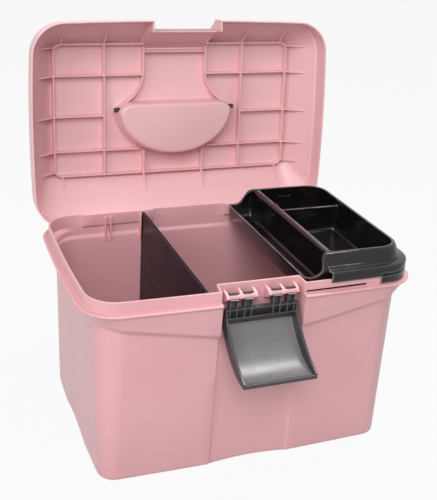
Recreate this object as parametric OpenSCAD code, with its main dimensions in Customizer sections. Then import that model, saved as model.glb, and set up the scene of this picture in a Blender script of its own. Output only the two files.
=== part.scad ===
// Horse grooming box: a tub with an open hinged lid, a front clasp, a carrying handle,
// a lift-out divider and a lift-out tray.
// Millimetres, front toward -Y, +Z up, origin at the centre of the base on the ground.

/* [Overall] */
// Width over the rim flange
rim_w = 400; // [330:1:490]
// Depth over the rim flange
rim_d = 264; // [215:1:320]
// Corner radius of the rim flange
rim_r = 42; // [36:1:50]
// Height of the lip's top edge above the ground
lip_top = 225; // [180:1:270]
// Wall thickness of the tub
wall = 2.5; // [2:0.1:3.2]

/* [Tub] */
// Inset of the base from the rim at the left and right
base_in_x = 23; // [16:1:28]
// Inset of the base from the rim at the front and back
base_in_y = 11.5; // [9.5:0.5:16]
// Thickness of the floor
floor_t = 3; // [2:0.5:5]
// Height of the arches under the base's front and back
arch_h = 3.2; // [1:0.2:3.6]
// Height of the lip above the rim flange
lip_h = 13.5; // [11:0.5:15]
// Half width of the recess behind the clasp
recess_half = 47; // [46:0.5:52]
// Depth of the guide ribs of the divider
guide_depth = 4; // [3:0.5:6]

/* [Lid] */
// Opening angle of the lid as drawn
lid_open = 95; // [0:1:100]
// Height of the lid above the rim
lid_h = 64; // [60:1:76]
// Wall thickness of the lid
lid_t = 2.2; // [1.8:0.1:2.8]
// Height of the ribs inside the lid
rib_h = 10.8; // [7:0.2:12]
// Thickness of the ribs inside the lid
rib_t = 1.8; // [1.4:0.1:2.6]

/* [Hinge] */
// Distance of each hinge from the middle
hinge_x = 97; // [80:1:110]
// Outer radius of the hinge knuckles
knuckle_r = 4.2; // [3.8:0.1:5.1]
// Radius of the hinge pins
pin_r = 2; // [1.5:0.1:2.4]
// Length of each hinge pin
pin_len = 50; // [44:1:56]

/* [Clasp] */
// Width of the clasp
clasp_w = 86; // [80:1:88]
// Thickness of the clasp's plate and walls
clasp_t = 2.6; // [2:0.1:3]
// Radius of the bars that the clasp hooks onto
bar_r = 2.8; // [2.4:0.1:3]

/* [Handle] */
// Half width of the handle over its arch
handle_half = 70; // [58:0.5:84]
// Width of the handle's grip
grip_w = 13; // [10:0.5:15]
// Thickness of the handle's grip
grip_t = 7; // [5.5:0.5:7]
// Radius of the handle's pivots
pivot_r = 3; // [2.4:0.1:3.2]

/* [Divider] */
// Position of the divider from the middle
divider_x = -64; // [-70:1:-58]
// Thickness of the divider
divider_t = 4; // [3:0.1:5]

/* [Tray] */
// Wall thickness of the tray
tray_t = 2; // [1.6:0.1:2.4]
// Width of the trough at the tray's left
trough_w = 33.8; // [28:0.2:40]
// Depth of the tray's floor below the lip's top
tray_deep = 21; // [14:1:22]
// Height of the tray's top edge above the lip's top
tray_rise = 23.5; // [19:0.5:23.5]

/* [Hidden] */
eps = 0.01;
// running clearance of the pivots, on the radius
fit = 0.05;

pink = [0.86, 0.66, 0.68];
black = [0.1, 0.09, 0.1];
steel = [0.7, 0.7, 0.72];

// Outward bow of the sides, and of the front and back
bow_x = 2;
bow_y = 2.5;
corner_steps = 8;
half_w = rim_w / 2;
half_d = rim_d / 2;
// how far plan positions inside the lid stretch with the rim
scale_x = rim_w / 400;
scale_y = rim_d / 264;

// Heights
flange_top = lip_top - lip_h;
flange_t = 2.5;
ledge_z = lip_top - 26;
floor_z = floor_t + 2;
rim_plane = flange_top + 0.5;
band_low = lip_top - 58;
band_high = lip_top - 35;
band_end = half_w - 29;

// Hinge axis
hinge_y = half_d + 0.4 - knuckle_r;
hinge_z = flange_top - 5.1 - knuckle_r;
// room round the knuckles in their pockets
knuckle_room = 0.6;
lid_knuckle = 30;
tub_knuckle = 9.5;
knuckle_gap = 0.3;

// Clasp axis and the steps of the recess behind the clasp
clasp_y = -(half_d - 11);
clasp_z = flange_top + 3.5;
recess_in = 22;
recess_bevel = 2;
bar_in = 8;
bar_out = 41.5;
hook_xs = [-34, -17, 17, 34];
hook_w = 10;

// Guide ribs of the divider: thickness and play on each face
guide_t = 2;
guide_gap = 0.4;

// Handle recess of the lid and handle axis, in the closed lid above the rim plane
dome_h = lid_h - 26;
handle_y = -12;
dome_y = -13;
handle_up = lid_h - 16;
// reach of the handle's arch, and the room round the handle in its recess
handle_reach = 54;
finger_room = 12;
dome_half = handle_half + finger_room;
dome_reach = handle_reach + finger_room - 1;
dome_flat = dome_half - 16;

// Linear mix of two values
function mix(a, b, t) = a + (b - a) * t;

// Value held between two limits
function clamp(v, lo, hi) = max(lo, min(hi, v));

// Points of a quarter turn round a centre, counter-clockwise from angle a0
function quarter(cx, cy, r, a0) =
    [for (i = [0 : corner_steps])
        let (a = a0 + 90 * i / corner_steps)
        [cx + r * cos(a), cy + r * sin(a)]];

// Points of a quadratic curve from a to c, drawn toward b, without the last point
function curve(a, b, c, steps) =
    [for (i = [0 : steps - 1])
        let (t = i / steps)
        a * (1 - t) * (1 - t) + b * 2 * t * (1 - t) + c * t * t];

// Plan outline inset from the rim: in_x at the sides, in_f at the front, in_b at the back.
// The front steps in by front_step inside half, the hinge zones at the back by back_step.
function outline(in_x, in_f, in_b, r, front_step = 0, half = recess_half, back_step = 0) =
    let (
        hx = half_w - bow_x - in_x,
        hf = half_d - bow_y - in_f,
        hb = half_d - bow_y - in_b,
        xe = hx - r,
        zone_out = min(hinge_x + 45, xe - 6),
        zone_in = hinge_x - 47,
        edge = half + recess_bevel,
        front_x = [-(edge + xe) / 2, -edge, -half, -half / 2, 0, half / 2, half, edge, (edge + xe) / 2],
        back_x = [zone_out + 3, zone_out, zone_in, zone_in - 3, 0,
            3 - zone_in, -zone_in, -zone_out, -zone_out - 3],
        side = [-0.5, 0, 0.5]
    )
    concat(
        quarter(-xe, r - hf, r, 180),
        [for (x = front_x)
            [x, -hf - bow_y * (1 - pow(x / xe, 2)) + (abs(x) <= half ? front_step : 0)]],
        quarter(xe, r - hf, r, 270),
        [for (s = side) [hx + bow_x * (1 - s * s), mix(r - hf, hb - r, (s + 1) / 2)]],
        quarter(xe, hb - r, r, 0),
        [for (x = back_x)
            [x, hb + bow_y * (1 - pow(x / xe, 2))
                - (abs(x) >= zone_in && abs(x) <= zone_out ? back_step : 0)]],
        quarter(-xe, hb - r, r, 90),
        [for (s = side) [-hx - bow_x * (1 - s * s), mix(hb - r, r - hf, (s + 1) / 2)]]
    );

// A plan outline lifted to one height
function level(points, z) = [for (p = points) [p.x, p.y, z]];

// Height of the arches under the middle of each wall, higher at the sides
function arch(p) =
    let (
        across = abs(p.y) > half_d - base_in_y - 20,
        along = across ? p.x / recess_half : p.y / (half_d / 3)
    )
    arch_h * (across ? 1 : 1.4) * max(0, 1 - along * along);

// Lower edge of the band under the flange, rising from the clasp recess to the corners
function band_z(p) =
    mix(band_low, band_high, clamp((abs(p.x) - recess_half) / (band_end - recess_half), 0, 1));

// Closed solid through a list of rings with equal numbers of points
module skin(rings) {
    n = len(rings[0]);
    last = len(rings) - 1;
    points = [for (ring = rings) each ring];
    sides = [for (k = [0 : last - 1]) for (i = [0 : n - 1])
        let (j = (i + 1) % n)
        each [
            [k * n + i, (k + 1) * n + j, k * n + j],
            [k * n + i, (k + 1) * n + i, (k + 1) * n + j]
        ]];
    first_cap = [for (i = [0 : n - 1]) i];
    last_cap = [for (i = [n - 1 : -1 : 0]) last * n + i];
    polyhedron(points, concat([first_cap], sides, [last_cap]));
}

// A profile drawn as [y, z] points, run along X from x0 to x1
module along_x(x0, x1, points) {
    translate([x0, 0, 0])
        rotate([90, 0, 90])
            linear_extrude(x1 - x0)
                polygon(points);
}

// A round bar along X
module rod(x0, x1, y, z, r) {
    translate([x0, y, z])
        rotate([0, 90, 0])
            cylinder(h = x1 - x0, r = r, $fn = 64);
}

// A box from one corner to the opposite one
module block(a, b) {
    translate(a) cube(b - a);
}

// Shell of the tub: up the outside, over the lip and down the inside
module tub_shell() {
    half_in = recess_half + wall;
    base_r = rim_r - 22;
    foot = outline(base_in_x + 3.5, base_in_y + 3.5, base_in_y + 3.5, base_r - 3, 1);
    lower = outline(base_in_x, base_in_y, base_in_y, base_r, 1);
    middle = outline(base_in_x - 4.5, base_in_y - 1.2, base_in_y - 1.2, base_r + 9, 5.5);
    upper = outline(15.9, 9.6, 9.6, rim_r - 8, recess_in - 9.6);
    band = outline(15.7, 3, 3, rim_r - 6, recess_in - 3);
    // flared at the sides, to keep a full wall around the ledge inside
    band_top = outline(5.5, 2.4, 2.4, rim_r - 5, recess_in - 2.4);
    flange = outline(0, 0, 1.2, rim_r, recess_in);
    lip_root = outline(7, 7, 7, rim_r - 7, recess_in - 7, recess_half, 3.5);
    lip_in = outline(9.2, 9.2, 9.2, rim_r - 9.2, recess_in + wall - 9.2, half_in, 3.5);
    ledge_top = outline(9.5, 9.5, 9.5, rim_r - 9.5, recess_in + wall - 9.5, half_in, 3.5);
    ledge_low = outline(18.2, 12, 12, rim_r - 12, recess_in + wall - 12, half_in);
    middle_in = outline(base_in_x - 4.5 + wall, base_in_y - 1.2 + wall, base_in_y - 1.2 + wall,
        base_r + 7, 5.5, half_in);
    lower_in = outline(base_in_x + wall, base_in_y + wall, base_in_y + wall, base_r - 2, 1.2, half_in);
    floor_in = outline(base_in_x + wall + 4, base_in_y + wall + 4, base_in_y + wall + 4,
        base_r - 5, 0.4, half_in);
    pad = outline(base_in_x + 16, base_in_y + 16, base_in_y + 16, base_r - 8);
    middle_z = lip_top * 0.54;
    skin([
        level(pad, 0),
        [for (p = foot) [p.x, p.y, arch(p) + eps]],
        [for (p = lower) [p.x, p.y, arch(p) + 3.5]],
        level(middle, middle_z),
        [for (p = upper) [p.x, p.y, band_z(p)]],
        [for (p = band) [p.x, p.y, band_z(p) + 6.5]],
        level(band_top, flange_top - flange_t),
        level(flange, flange_top - flange_t + eps),
        level(flange, flange_top),
        level(lip_root, flange_top + eps),
        [for (p = lip_root) [p.x, p.y, lip_top + (abs(p.x) <= recess_half && p.y < 0 ? 1.5 : 0)]],
        [for (p = lip_in) [p.x, p.y, lip_top + eps + (abs(p.x) <= half_in && p.y < 0 ? 1.5 : 0)]],
        level(ledge_top, lip_top - 18),
        level(ledge_low, ledge_z),
        level(middle_in, middle_z),
        level(lower_in, floor_z + 4),
        level(floor_in, floor_z),
        level(pad, floor_z - eps)
    ]);
}

// One bracket rib that carries the clasp's bar
module clasp_bracket(x) {
    root = -(half_d - recess_in - 1);
    along_x(x - 1.5, x + 1.5, [
        [root, clasp_z - 11],
        [root, clasp_z + 5.5],
        [clasp_y + 1, clasp_z + 3.8],
        [clasp_y - 3.6, clasp_z],
        [clasp_y, clasp_z - 4]
    ]);
}

// Two guide ribs that hold an edge of the divider, at the back or the front wall
module divider_guides(x, dir) {
    wall_in = half_d - 12.7;
    for (side = [-1, 1]) {
        inner = x + side * (divider_t / 2 + guide_gap);
        outer = inner + side * guide_t;
        block(
            [min(inner, outer), min(dir * (wall_in - guide_depth), dir * (wall_in + 2.6)), lip_top - 38],
            [max(inner, outer), max(dir * (wall_in - guide_depth), dir * (wall_in + 2.6)), lip_top - 4]
        );
    }
}

// Knuckle of the tub with its web to the back wall
module tub_hinge(x0, x1) {
    rod(x0, x1, hinge_y, hinge_z, knuckle_r);
    block([x0, half_d - 10.5, hinge_z - knuckle_r], [x1, hinge_y, hinge_z + knuckle_r]);
}

module tub() {
    inner_gap = lid_knuckle / 2 + knuckle_gap;
    outer_end = inner_gap + tub_knuckle;
    color(pink) difference() {
        union() {
            difference() {
                tub_shell();
                // hinge pockets through the band and the flange
                for (side = [-1, 1])
                    block(
                        [side * hinge_x - outer_end - 1, hinge_y - knuckle_r - knuckle_room, hinge_z - knuckle_r - 5.8],
                        [side * hinge_x + outer_end + 1, half_d + 5, flange_top + 1]
                    );
                // slot through the lip's root beside the clasp
                block([recess_half + 4, -half_d - 1, flange_top + 0.5],
                    [128 * scale_x, 12 - half_d, flange_top + 3.7]);
            }
            for (side = [-1, 1]) {
                for (x = [bar_in, (bar_in + bar_out) / 2, bar_out])
                    clasp_bracket(side * x);
                rod(min(side * bar_in, side * bar_out), max(side * bar_in, side * bar_out), clasp_y, clasp_z, bar_r);
                tub_hinge(side * hinge_x - outer_end, side * hinge_x - inner_gap);
                tub_hinge(side * hinge_x + inner_gap, side * hinge_x + outer_end);
            }
            for (x = [divider_x, divider_x - 46 * scale_x])
                for (dir = [-1, 1])
                    divider_guides(x, dir);
        }
        for (side = [-1, 1])
            rod(side * hinge_x - outer_end - 2, side * hinge_x + outer_end + 2, hinge_y, hinge_z, pin_r);
    }
}

// Extra inset of the lid's back wall at a height above the rim
function lid_back(h) = 20 * pow(clamp((h - 24.5) / (lid_h - 36.5), 0, 1), 2);

// Ring of the lid at a height above the rim
function lid_ring(inset, h, back_h) =
    level(outline(inset, inset, inset + lid_back(back_h), max(rim_r - inset, 12)), h);

// Shell of the lid, closed, with its rim plane at zero: down the inside and up the outside
module lid_shell() {
    top = lid_h;
    skin([
        lid_ring(38, top - lid_t, top),
        lid_ring(35, top - lid_t - 0.8, top),
        lid_ring(31.6, top - 5.7, top),
        lid_ring(25.8, top - 12.2, top - 11),
        lid_ring(16.4, 38, 39.5),
        lid_ring(7, 24.6, 25),
        lid_ring(6.4, 23, 24),
        lid_ring(lid_t + 0.8, 22.6, 23),
        lid_ring(lid_t + 0.2, 0, 0),
        lid_ring(0.2, 0.02, 0),
        lid_ring(0.8, 23, 23),
        lid_ring(4.2, 24.2, 24.5),
        lid_ring(14.1, 39.4, 39.5),
        lid_ring(23.5, top - 11, top - 11),
        lid_ring(29.5, top - 4, top),
        lid_ring(33, top - 1, top),
        lid_ring(36.5, top, top)
    ]);
}

// Outside line of the clasp channel in the lid's front, and the same line on the inside
channel_half = recess_half - 3;
front = -half_d;
channel_out = [
    [front + 12.4, 15],
    [front + 12.4, 20],
    [front + 32.5, lid_h - 13],
    [front + 36, lid_h - 7],
    [front + 41, lid_h - 2.5],
    [front + 48, lid_h + 0.5]
];
channel_in = [
    [front + 14.6, 15],
    [front + 14.6, 20.8],
    [front + 34.5, lid_h - 12],
    [front + 37.7, lid_h - 6.4],
    [front + 42, lid_h - lid_t + eps]
];

// Channel walls and sloped channel face, as one solid through the lid's front
module channel_body() {
    along_x(-channel_half - lid_t, channel_half + lid_t, concat(channel_in, [
        [front + 42, lid_h - 0.4],
        [front + 34, lid_h - 1.8],
        [front + 24.4, lid_h - 11.6],
        [front + 5, 24.4],
        [front + 2.6, 22.6],
        [front + 1, 0.3],
        [front + 14.6, 0.3]
    ]));
}

// Space outside the channel face, taken out of the lid
module channel_space() {
    along_x(-channel_half, channel_half, concat(channel_out, [
        [front + 48, lid_h + 9],
        [front - 9, lid_h + 9],
        [front - 9, -2],
        [front + 16, -2],
        [front + 16, 15]
    ]));
}

// Plan of the handle recess: a flat front side and a half ellipse behind it
function dome_plan(flat_in, inset) = concat(
    [[-dome_flat + flat_in * 0.5, dome_y - 8 + flat_in], [dome_flat - flat_in * 0.5, dome_y - 8 + flat_in]],
    [for (i = [0 : 20])
        let (a = 180 * i / 20)
        [(dome_half - inset) * cos(a), dome_y + (dome_reach - inset) * sin(a)]]
);

// Solid with the handle recess's plan, its round side tapering downward
module dome(inset, top, bottom) {
    draft = 5 * (top - bottom) / 26;
    skin([level(dome_plan(inset, inset + draft), bottom), level(dome_plan(inset, inset), top)]);
}

// Rounded rectangle between two corners
module round_rect(a, b, r) {
    translate((a + b) / 2)
        offset(r)
            square([b.x - a.x - 2 * r, b.y - a.y - 2 * r], center = true);
}

// Straight rib between two plan points
module rib(a, b) {
    d = b - a;
    translate(a)
        rotate(atan2(d.y, d.x))
            translate([0, -rib_t / 2])
                square([norm(d), rib_t]);
}

// Plan of the rib lattice inside the lid
module lattice() {
    left = -163 * scale_x;
    right = 163 * scale_x;
    rear = 76 * scale_y;
    near = -98 * scale_y;
    post = 96 * scale_x;
    rows = [-57 * scale_y, 42 * scale_y];
    channel = channel_half - rib_t / 2;
    flare = -62 * scale_y;
    difference() {
        round_rect([left, near], [right, rear], 10, $fn = 32);
        round_rect([left + rib_t, near + rib_t], [right - rib_t, rear - rib_t], 10 - rib_t, $fn = 32);
        square([2 * channel, 2 * half_d], center = true);
    }
    for (side = [-1, 1]) {
        rib([side * post, near + 1], [side * post, rear - 1]);
        rib([side * channel, front + 38], [side * channel, flare]);
        bend = concat(
            curve([channel, flare], [channel, flare * 0.6], [dome_flat + 1, dome_y - 7], 8),
            [[dome_flat + 1, dome_y - 7]]
        );
        for (i = [0 : len(bend) - 2])
            rib([side * bend[i].x, bend[i].y], [side * bend[i + 1].x, bend[i + 1].y]);
        rib([side * 41.5, dome_y + dome_reach * 0.8], [side * 41.5, rear - 1]);
        rib([side * post, -4 * scale_y], [side * right, -4 * scale_y]);
        rib([side * channel, rows[0]], [side * (right - 1), rows[0]]);
        rib([side * dome_half * 0.5, rows[1]], [side * (right - 1), rows[1]]);
    }
    rib([-channel, -87 * scale_y], [channel, -87 * scale_y]);
    rear_half = 160 * scale_x;
    rib([-rear_half, rear - rib_t / 2], [rear_half, rear - rib_t / 2]);
}

// Tapering fin between the border rib and the sloped wall, along one direction, its tip at a height
module gusset(x, y, turn, run, tip = 33) {
    low = lid_h - lid_t - rib_h;
    translate([x, y, 0])
        rotate([90, 0, turn])
            translate([0, 0, -rib_t / 2])
                linear_extrude(rib_t)
                    polygon([[-1, low], [run, tip], [run, tip + 3], [0, lid_h - 3], [-1, lid_h - 3]]);
}

module gussets() {
    side_x = 162 * scale_x;
    near = -97 * scale_y;
    rear = 75 * scale_y;
    run_x = half_w - 10 - side_x;
    run_near = half_d - 10 + near;
    run_rear = half_d - 30 - rear;
    for (side = [-1, 1]) {
        for (y = [-93, -57, -4, 42, 69])
            gusset(side * side_x, y * scale_y, side > 0 ? 0 : 180, run_x);
        for (x = [96, 152])
            gusset(side * x * scale_x, near, 270, run_near);
        for (x = [41.5, 152])
            gusset(side * x * scale_x, rear, 90, run_rear, lid_h - 22);
    }
}

// Envelope that keeps the ribs inside the lid's outer skin
module lid_inside() {
    skin([
        lid_ring(1.2, 0, 0),
        lid_ring(3, 23, 23),
        lid_ring(5.2, 24.2, 24.5),
        lid_ring(15.1, 39.4, 39.5),
        lid_ring(24.5, lid_h - 11.4, lid_h - 11),
        lid_ring(30.8, lid_h - 4.6, lid_h),
        lid_ring(37, lid_h - 1, lid_h)
    ]);
}

// Arm and knuckle of one lid hinge, in the closed lid with its rim plane at zero
module lid_hinge(x) {
    drop = hinge_z - rim_plane;
    x0 = x - lid_knuckle / 2;
    x1 = x + lid_knuckle / 2;
    rod(x0, x1, hinge_y, drop, knuckle_r);
    along_x(x0, x1, [
        [hinge_y - 1.2, drop],
        [hinge_y + knuckle_r - 0.8, drop],
        [half_d - 0.6, drop + 4],
        [half_d - 1.4, 14],
        [half_d - 4, 16],
        [half_d - 4, 1.5],
        [hinge_y - 1.2, drop + 4]
    ]);
}

// The lid as closed, its rim plane at zero
module lid_closed() {
    difference() {
        union() {
            difference() {
                union() {
                    lid_shell();
                    channel_body();
                    dome(0, lid_h - 1, dome_h - lid_t);
                    intersection() {
                        union() {
                            translate([0, 0, lid_h - lid_t - rib_h])
                                linear_extrude(rib_h + 1)
                                    lattice();
                            gussets();
                        }
                        lid_inside();
                    }
                }
                channel_space();
                dome(lid_t, lid_h + 1, dome_h);
            }
            // bar along the lower edge of the channel face
            block([-channel_half - 1, front + 12.4, 15], [channel_half + 1, front + 16.8, 18]);
            for (side = [-1, 1])
                lid_hinge(side * hinge_x);
        }
        for (side = [-1, 1]) {
            rod(side * hinge_x - lid_knuckle, side * hinge_x + lid_knuckle, hinge_y, hinge_z - rim_plane, pin_r + fit);
            rod(min(side * dome_flat, side * (dome_half + 8)), max(side * dome_flat, side * (dome_half + 8)),
                handle_y, handle_up, pivot_r + fit);
        }
    }
}

// Turns the closed lid and what rides on it to the drawn opening
module opened() {
    translate([0, hinge_y, hinge_z])
        rotate([-lid_open, 0, 0])
            translate([0, -hinge_y, rim_plane - hinge_z])
                children();
}

module lid() {
    color(pink) opened() lid_closed();
}

module hinge_pin(x) {
    color(steel) rod(x - pin_len / 2, x + pin_len / 2, hinge_y, hinge_z, pin_r);
}

module hinge_pin_left() { hinge_pin(-hinge_x); }

module hinge_pin_right() { hinge_pin(hinge_x); }

// Profile lines of the hanging clasp as [y, z] from its axis
clasp_heel = [5, -34];
clasp_end = [-61, -72.5];
clasp_wall = [-4.5, -24];
plate_top = curve(clasp_heel, [-26, -75], clasp_end, 12);
rim_line = curve(clasp_wall, [-30, -57], [-63, -69], 12);

// A clasp profile run along X at the clasp's axis
module clasp_run(x0, x1, points) {
    translate([0, clasp_y, clasp_z]) along_x(x0, x1, points);
}

module clasp() {
    half = clasp_w / 2;
    hook_r = bar_r + 2.2;
    under = curve(clasp_heel + [2, -1.6], [-25.5, -78.4], clasp_end + [0, -clasp_t], 12);
    color(black) difference() {
        union() {
            // curved plate and upright leg
            clasp_run(-half, half, concat(plate_top, [clasp_end, clasp_end + [0, -clasp_t]],
                [for (i = [11 : -1 : 0]) under[i]]));
            clasp_run(-half, half,
                [[1, -29], clasp_heel, clasp_heel + [2.4, -1.6], [3.6, -27], [3.2, -13], [0.6, -13]]);
            // wall across the inside of the bend
            clasp_run(-half, half, [clasp_heel + [0, -0.6], clasp_heel + [1.6, 1], clasp_wall + [0.9, 1.2], clasp_wall]);
            // side walls
            for (side = [-1, 1])
                clasp_run(min(side * half, side * (half - clasp_t)), max(side * half, side * (half - clasp_t)),
                    concat(rim_line, [clasp_end + [-2, 1], clasp_end + [0, -1]],
                        [for (i = [11 : -1 : 0]) plate_top[i] + [0.5, -0.8]],
                        [[6.6, -34], [3.2, -26], [3, -13], [-2.6, -13]]));
            // ribs that run from the hooks to the wall, and the rib across them
            for (x = hook_xs)
                for (dx = [-1, 1])
                    clasp_run(x + dx * (hook_w / 2 - 0.9) - 0.9, x + dx * (hook_w / 2 - 0.9) + 0.9,
                        [[2, -4.4], [2, -29], clasp_wall + [1.6, -1], [-2.6, -7], [-1.6, -4.4]]);
            clasp_run(-half + 1, half - 1, [[2, -13.4], [2, -16], [-2.4, -15.6], [-2.4, -13.8]]);
            // fingers and hooks round the bars, open toward the front
            for (x = hook_xs) {
                clasp_run(x - hook_w / 2, x + hook_w / 2, [[0.6, -14], [3.2, -14], [4.4, -2], [2, -4], [0.6, -4.4]]);
                translate([0, clasp_y, clasp_z]) difference() {
                    rod(x - hook_w / 2, x + hook_w / 2, 0, 0, hook_r);
                    block([x - hook_w / 2 - 1, -2 * hook_r, -1.8], [x + hook_w / 2 + 1, -1, 2 * hook_r]);
                }
            }
            // rolled end
            translate([0, clasp_y, clasp_z]) rod(-half, half, clasp_end.x, clasp_end.y - 0.6, 2.6);
        }
        translate([0, clasp_y, clasp_z]) rod(-half - 1, half + 1, 0, 0, bar_r + fit);
    }
}

// Half ellipse of the handle's arch
function arch_points(rx, ry, from, to) =
    [for (i = [0 : 24])
        let (a = mix(from, to, i / 24))
        [rx * cos(a), ry * sin(a)]];

module handle() {
    color(black) opened() translate([0, handle_y, handle_up]) union() {
        translate([0, 0, -grip_t / 2])
            linear_extrude(grip_t)
                polygon(concat(
                    arch_points(handle_half, handle_reach, 0, 180),
                    arch_points(handle_half - grip_w, handle_reach - grip_w, 180, 0)
                ));
        for (side = [-1, 1]) {
            rod(min(side * (handle_half - grip_w), side * handle_half),
                max(side * (handle_half - grip_w), side * handle_half), 0, 0, grip_t / 2);
            rod(min(side * (handle_half - 2), side * (dome_half + 2)),
                max(side * (handle_half - 2), side * (dome_half + 2)), 0, 0, pivot_r);
        }
    }
}

module divider() {
    above = half_d - 13.6;
    lower = half_d - base_in_y - wall - 6.5;
    top = lip_top - 1.5;
    foot = floor_z + fit;
    color(black)
        along_x(divider_x - divider_t / 2, divider_x + divider_t / 2, [
            [-lower, foot],
            [lower, foot],
            [above, ledge_z - 8],
            [above, top],
            [-above, top],
            [-above, ledge_z - 8]
        ]);
}

// Plan ring of the tray's body, with small corners at the left and large ones at the right
function tray_ring(x0, x1, y, r, z) = level(concat(
    quarter(x0 + 6, 6 - y, 6, 180),
    quarter(x1 - r, r - y, r, 270),
    quarter(x1 - r, y - r, r, 0),
    quarter(x0 + 6, y - 6, 6, 90)
), z);

module tray() {
    x_left = recess_half + wall + 2.7;
    x_mid = x_left + trough_w;
    x_right = half_w - 17;
    half_y = half_d - 15;
    low = lip_top - tray_deep;
    high = lip_top + tray_rise;
    plate_low = lip_top + 6;
    plate_top = lip_top + 8;
    ear = 142 * scale_x;
    skirt_out = outline(5.2, 5.2, 5.2, rim_r - 5.2);
    skirt_in = outline(6.4, 6.4, 6.4, rim_r - 6.4);
    part_y = 46 * scale_y;
    top_in = 1.5;
    top_in_y = 9;
    x_in = x_right - top_in - tray_t;
    // height, end wall and loss at the corners of the cavities' rings
    rows = [
        [low + tray_t, half_y - 3 - tray_t, 2],
        [plate_low, half_y - tray_t, 0],
        [high + 1, half_y - top_in_y - tray_t, 0]
    ];
    // body from the floor up
    module body(inset = 0) {
        skin([
            tray_ring(x_left + 2, x_right - 4 - inset, half_y - 3 - inset, 24, low),
            tray_ring(x_left, x_right - 1 - inset, half_y - inset, 26, plate_low),
            tray_ring(x_left, x_right - top_in - inset, half_y - top_in_y - inset, 25, high)
        ]);
    }
    // a cavity of the tray, along the end walls where no front or back is given
    module cavity(x0, x1, r, front = undef, back = undef) {
        skin([for (row = rows)
            let (
                y0 = is_undef(front) ? -row[1] : front,
                y1 = is_undef(back) ? row[1] : back,
                small = 6 - row[2],
                large = r - row[2]
            )
            level(concat(quarter(x0 + 6, y0 + 6, small, 180), quarter(x1 - r, y0 + r, large, 270),
                quarter(x1 - r, y1 - r, large, 0), quarter(x0 + 6, y1 - 6, small, 90)), row[0])
        ]);
    }
    // rolled top of the wall beside the trough
    color(black) intersection() {
        body(tray_t / 2);
        rotate([90, 0, 0])
            translate([0, 0, -half_d])
                linear_extrude(rim_d)
                    polygon(concat(
                        [[x_mid - 4.6, high - 4.2], [x_mid + 4, high - 4.2]],
                        quarter(x_mid + 1.5, high - 2.5, 2.5, 0),
                        quarter(x_mid - 2.1, high - 2.5, 2.5, 90)
                    ));
    }
    color(black) difference() {
        union() {
            body();
            // plate and skirt over the tub's lip
            intersection() {
                difference() {
                    skin([level(skirt_out, flange_top + 1), level(skirt_out, plate_top)]);
                    skin([level(skirt_in, flange_top), level(skirt_in, plate_low)]);
                    block([0, -half_d, flange_top], [ear, half_d, lip_top - 4]);
                    // room for the lid's rear corner
                    block([ear, 80 * scale_y, flange_top], [half_w, half_d, high]);
                }
                block([72 * scale_x, -half_d, low], [half_w, half_d, high]);
            }
            // rest ribs on the lip
            for (dir = [-1, 1])
                for (x = [100, 138])
                    block([x * scale_x, min(dir * (half_d - 18), dir * (half_d - 7.5)), lip_top + 0.1],
                        [x * scale_x + 2, max(dir * (half_d - 18), dir * (half_d - 7.5)), plate_low + 1]);
        }
        cavity(x_left + tray_t, x_mid, 6.5);
        cavity(x_mid + tray_t, x_in, 23, front = part_y + tray_t / 2);
        cavity(x_mid + tray_t, x_in, 23, back = part_y - tray_t / 2);
        // low partition between the two compartments
        block([x_mid + tray_t + 4, part_y - 8, high - 8], [x_right - 30, part_y + 8, high + 1]);
        // curved step down to the trough
        rotate([90, 0, 0])
            translate([0, 0, -half_d])
                linear_extrude(rim_d)
                    polygon(concat(
                        [[0, high + 9], [0, lip_top], [x_mid - 26, lip_top]],
                        curve([x_mid - 26, lip_top], [x_mid - 14, lip_top], [x_mid - 12, lip_top + 11], 6),
                        curve([x_mid - 12, lip_top + 11], [x_mid - 10, high], [x_mid, high], 6),
                        [[x_mid, high], [x_mid, high + 9]]
                    ));
    }
}

tub();
lid();
hinge_pin_left();
hinge_pin_right();
clasp();
handle();
divider();
tray();
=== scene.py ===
"""Looks of the horse grooming box: refined shells, ribs, clasp, tray, materials, light and camera."""

import math
from collections import namedtuple

import bmesh
import bpy
from mathutils import Matrix, Vector


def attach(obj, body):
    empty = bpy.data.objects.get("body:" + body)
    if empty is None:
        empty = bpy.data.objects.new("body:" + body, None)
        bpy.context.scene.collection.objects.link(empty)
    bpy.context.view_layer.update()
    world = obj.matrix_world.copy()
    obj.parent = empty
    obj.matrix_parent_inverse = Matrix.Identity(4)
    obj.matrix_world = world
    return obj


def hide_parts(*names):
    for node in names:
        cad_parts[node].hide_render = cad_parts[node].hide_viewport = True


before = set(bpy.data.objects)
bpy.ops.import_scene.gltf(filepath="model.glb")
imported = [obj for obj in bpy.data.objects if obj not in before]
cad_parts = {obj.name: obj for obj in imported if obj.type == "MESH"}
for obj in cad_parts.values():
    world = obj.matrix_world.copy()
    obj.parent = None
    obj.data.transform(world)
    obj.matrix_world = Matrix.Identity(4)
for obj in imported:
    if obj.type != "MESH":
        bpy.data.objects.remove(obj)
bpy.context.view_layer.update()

# Sizes in millimetres, from the CAD model; the side arches and the ledge inside are nearer to the photo
MM = 0.001
HALF_W = 200.0
HALF_D = 132.0
RIM_R = 42.0
BOW_X = 2.0
BOW_Y = 2.5
LIP_TOP = 225.0
FLANGE_TOP = LIP_TOP - 13.5
FLANGE_LOW = FLANGE_TOP - 2.5
WALL = 2.5
FLOOR_Z = 5.0
ARCH_H = 3.2
SIDE_ARCH = 2.0
BASE_IN_X = 23.0
BASE_IN_Y = 11.5
BASE_R = RIM_R - 22
RECESS_HALF = 47.0
RECESS_IN = 22.0
RECESS_BEVEL = 2.0
BAND_LOW = LIP_TOP - 58
BAND_HIGH = LIP_TOP - 35
BAND_END = HALF_W - 29
BAND_NOMINAL = 175.0
WAIST_Z = LIP_TOP * 0.54
LEDGE_Z = LIP_TOP - 26
TONGUE_RISE = 1.5
KNUCKLE_R = 4.2
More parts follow.
